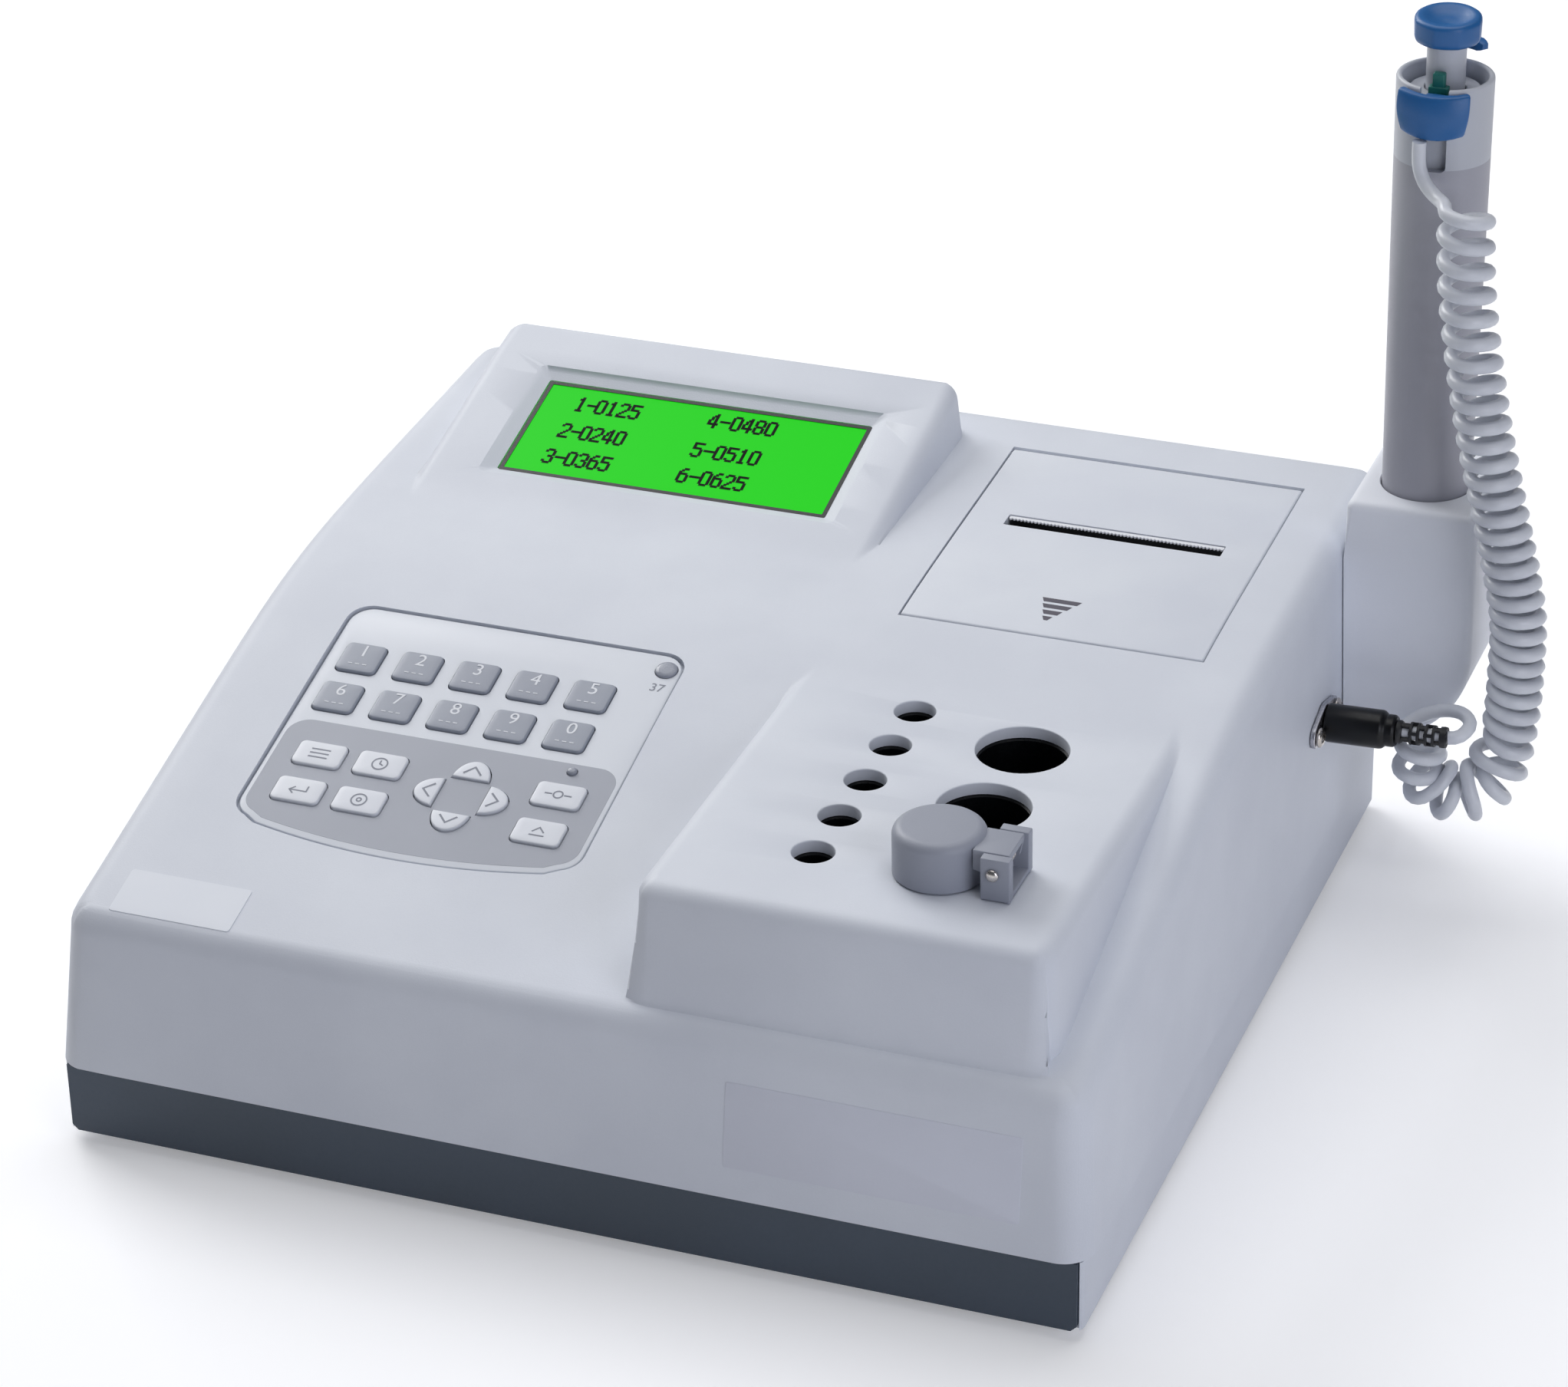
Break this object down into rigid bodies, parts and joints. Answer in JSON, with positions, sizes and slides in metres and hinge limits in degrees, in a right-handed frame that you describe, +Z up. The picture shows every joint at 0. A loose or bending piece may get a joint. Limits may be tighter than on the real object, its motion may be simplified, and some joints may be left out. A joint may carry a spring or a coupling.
{
  "type": "coagulation analyzer",
  "caption": "Bench coagulation analyzer: moulded casing with keypad, lit display, strip printer flap, heated cuvette wells, hinged channel cap, and a wired pipette in a side tube.",
  "frame": {"origin": "on the surface it stands on, under the middle of the instrument without its cord", "axes": "+Z up, front towards -Y, pipette tube and curly cord on the +X side"},
  "size_m": [0.3245, 0.272, 0.248],
  "materials": {
    "case_white": "fine texture",
    "band_blue_grey": "satin",
    "foot_rubber": "matte",
    "black_plastic": "satin",
    "lcd_green": "gloss, lit from behind",
    "panel_white": "matte",
    "key_grey": "satin",
    "key_white": "satin",
    "lamp_lens": "diffuse lens",
    "board_green": "satin",
    "cap_grey": "satin",
    "steel": "satin",
    "anodised_block": "black anodised",
    "tube_grey": "satin",
    "pipette_pale": "satin",
    "pipette_blue": "semi-gloss",
    "tab_green": "semi-gloss",
    "plug_black": "semi-gloss",
    "relief_rubber": "satin",
    "cord_grey": "smooth sheath"
  },
  "bodies": {
    "case": {"base_tray": "case_white", "front_band": "band_blue_grey", "foot_front_left": "foot_rubber", "foot_front_right": "foot_rubber", "foot_rear_left": "foot_rubber", "foot_rear_right": "foot_rubber", "top_cover": "case_white", "lcd_module": "black_plastic", "lcd_screen": "lcd_green", "keypad_panel": "panel_white", "keypad_board": "board_green", "temp_lamp": "lamp_lens", "status_lamp": "lamp_lens", "printer_frame": "black_plastic", "print_head": "steel", "incubator_block": "anodised_block", "cap_bracket": "cap_grey", "cap_pin": "steel", "cap_spring": "steel", "arm_block": "case_white", "holder_tube": "tube_grey", "jack_socket": "steel", "socket_screw_front": "steel", "socket_screw_rear": "steel", "jack_plug": "plug_black", "strain_relief": "relief_rubber", "curly_cord": "cord_grey", "power_inlet": "black_plastic", "main_board": "board_green"},
    "key_0_body": {"key_0": "key_grey"},
    "key_1_body": {"key_1": "key_grey"},
    "key_2_body": {"key_2": "key_grey"},
    "key_3_body": {"key_3": "key_grey"},
    "key_4_body": {"key_4": "key_grey"},
    "key_5_body": {"key_5": "key_grey"},
    "key_6_body": {"key_6": "key_grey"},
    "key_7_body": {"key_7": "key_grey"},
    "key_8_body": {"key_8": "key_grey"},
    "key_9_body": {"key_9": "key_grey"},
    "key_menu_body": {"key_menu": "key_white"},
    "key_timer_body": {"key_timer": "key_white"},
    "key_enter_body": {"key_enter": "key_white"},
    "key_optic_body": {"key_optic": "key_white"},
    "key_inline_body": {"key_inline": "key_white"},
    "key_feed_body": {"key_feed": "key_white"},
    "key_up_body": {"key_up": "key_white"},
    "key_down_body": {"key_down": "key_white"},
    "key_left_body": {"key_left": "key_white"},
    "key_right_body": {"key_right": "key_white"},
    "printer_flap": {"printer_cover": "case_white", "tear_bar": "panel_white"},
    "platen": {"platen_roller": "foot_rubber"},
    "cap": {"channel_cap": "cap_grey"},
    "pipette": {"pipette_body": "pipette_pale", "finger_rest": "pipette_blue"},
    "plunger": {"plunger_rod": "pipette_pale", "plunger_button": "pipette_blue"},
    "start_tab_body": {"start_tab": "tab_green"},
    "ejector": {"ejector_button": "pipette_blue"},
    "rocker": {"power_switch": "black_plastic"}
  },
  "joints": [
    {"name": "key_0_press", "type": "slide", "parent": "case", "child": "key_0_body", "axis": [0, 0.2482, -0.9687], "range_m": [0, 0.0005], "stiffness_N_per_m": 200, "springref_m": -0.001},
    {"name": "key_1_press", "type": "slide", "parent": "case", "child": "key_1_body", "axis": [0, 0.2482, -0.9687], "range_m": [0, 0.0005], "stiffness_N_per_m": 200, "springref_m": -0.001},
    {"name": "key_2_press", "type": "slide", "parent": "case", "child": "key_2_body", "axis": [0, 0.2482, -0.9687], "range_m": [0, 0.0005], "stiffness_N_per_m": 200, "springref_m": -0.001},
    {"name": "key_3_press", "type": "slide", "parent": "case", "child": "key_3_body", "axis": [0, 0.2482, -0.9687], "range_m": [0, 0.0005], "stiffness_N_per_m": 200, "springref_m": -0.001},
    {"name": "key_4_press", "type": "slide", "parent": "case", "child": "key_4_body", "axis": [0, 0.2482, -0.9687], "range_m": [0, 0.0005], "stiffness_N_per_m": 200, "springref_m": -0.001},
    {"name": "key_5_press", "type": "slide", "parent": "case", "child": "key_5_body", "axis": [0, 0.2482, -0.9687], "range_m": [0, 0.0005], "stiffness_N_per_m": 200, "springref_m": -0.001},
    {"name": "key_6_press", "type": "slide", "parent": "case", "child": "key_6_body", "axis": [0, 0.2482, -0.9687], "range_m": [0, 0.0005], "stiffness_N_per_m": 200, "springref_m": -0.001},
    {"name": "key_7_press", "type": "slide", "parent": "case", "child": "key_7_body", "axis": [0, 0.2482, -0.9687], "range_m": [0, 0.0005], "stiffness_N_per_m": 200, "springref_m": -0.001},
    {"name": "key_8_press", "type": "slide", "parent": "case", "child": "key_8_body", "axis": [0, 0.2482, -0.9687], "range_m": [0, 0.0005], "stiffness_N_per_m": 200, "springref_m": -0.001},
    {"name": "key_9_press", "type": "slide", "parent": "case", "child": "key_9_body", "axis": [0, 0.2482, -0.9687], "range_m": [0, 0.0005], "stiffness_N_per_m": 200, "springref_m": -0.001},
    {"name": "key_menu_press", "type": "slide", "parent": "case", "child": "key_menu_body", "axis": [0, 0.2482, -0.9687], "range_m": [0, 0.0005], "stiffness_N_per_m": 200, "springref_m": -0.001},
    {"name": "key_timer_press", "type": "slide", "parent": "case", "child": "key_timer_body", "axis": [0, 0.2482, -0.9687], "range_m": [0, 0.0005], "stiffness_N_per_m": 200, "springref_m": -0.001},
    {"name": "key_enter_press", "type": "slide", "parent": "case", "child": "key_enter_body", "axis": [0, 0.2482, -0.9687], "range_m": [0, 0.0005], "stiffness_N_per_m": 200, "springref_m": -0.001},
    {"name": "key_optic_press", "type": "slide", "parent": "case", "child": "key_optic_body", "axis": [0, 0.2482, -0.9687], "range_m": [0, 0.0005], "stiffness_N_per_m": 200, "springref_m": -0.001},
    {"name": "key_inline_press", "type": "slide", "parent": "case", "child": "key_inline_body", "axis": [0, 0.2482, -0.9687], "range_m": [0, 0.0005], "stiffness_N_per_m": 200, "springref_m": -0.001},
    {"name": "key_feed_press", "type": "slide", "parent": "case", "child": "key_feed_body", "axis": [0, 0.2482, -0.9687], "range_m": [0, 0.0005], "stiffness_N_per_m": 200, "springref_m": -0.001},
    {"name": "key_up_press", "type": "slide", "parent": "case", "child": "key_up_body", "axis": [0, 0.2482, -0.9687], "range_m": [0, 0.0005], "stiffness_N_per_m": 200, "springref_m": -0.001},
    {"name": "key_down_press", "type": "slide", "parent": "case", "child": "key_down_body", "axis": [0, 0.2482, -0.9687], "range_m": [0, 0.0005], "stiffness_N_per_m": 200, "springref_m": -0.001},
    {"name": "key_left_press", "type": "slide", "parent": "case", "child": "key_left_body", "axis": [0, 0.2482, -0.9687], "range_m": [0, 0.0005], "stiffness_N_per_m": 200, "springref_m": -0.001},
    {"name": "key_right_press", "type": "slide", "parent": "case", "child": "key_right_body", "axis": [0, 0.2482, -0.9687], "range_m": [0, 0.0005], "stiffness_N_per_m": 200, "springref_m": -0.001},
    {"name": "printer_flap_hinge", "type": "hinge", "parent": "case", "child": "printer_flap", "pos_m": [0.05795, 0.1141, 0.10217], "axis": [-1, 0, 0], "range_deg": [0, 95]},
    {"name": "platen_spin", "type": "hinge", "parent": "case", "child": "platen", "pos_m": [0.05795, 0.0775, 0.089], "axis": [1, 0, 0], "continuous": true},
    {"name": "cap_hinge", "type": "hinge", "parent": "case", "child": "cap", "pos_m": [0.0835, -0.0917, 0.1023], "axis": [0, 1, 0], "range_deg": [0, 105], "stiffness_Nm_per_rad": 0.004, "springref_deg": -20.05},
    {"name": "pipette_lift", "type": "slide", "parent": "case", "child": "pipette", "axis": [0, 0, 1], "range_m": [0, 0.115]},
    {"name": "plunger_press", "type": "slide", "parent": "pipette", "child": "plunger", "axis": [0, 0, -1], "range_m": [0, 0.007], "stiffness_N_per_m": 300, "springref_m": -0.003},
    {"name": "start_tab_travel", "type": "slide", "parent": "pipette", "child": "start_tab_body", "axis": [0, 0, -1], "range_m": [0, 0.0035]},
    {"name": "ejector_press", "type": "slide", "parent": "pipette", "child": "ejector", "axis": [0, 0, -1], "range_m": [0, 0.0028], "stiffness_N_per_m": 400, "springref_m": -0.003},
    {"name": "power_rocker", "type": "hinge", "parent": "case", "child": "rocker", "pos_m": [-0.0765, 0.1299, 0.053], "axis": [1, 0, 0], "range_deg": [0, 16]}
  ],
  "couplings": [
    {"joint": "start_tab_travel", "follows": "plunger_press", "ratio": 0.5}
  ]
}
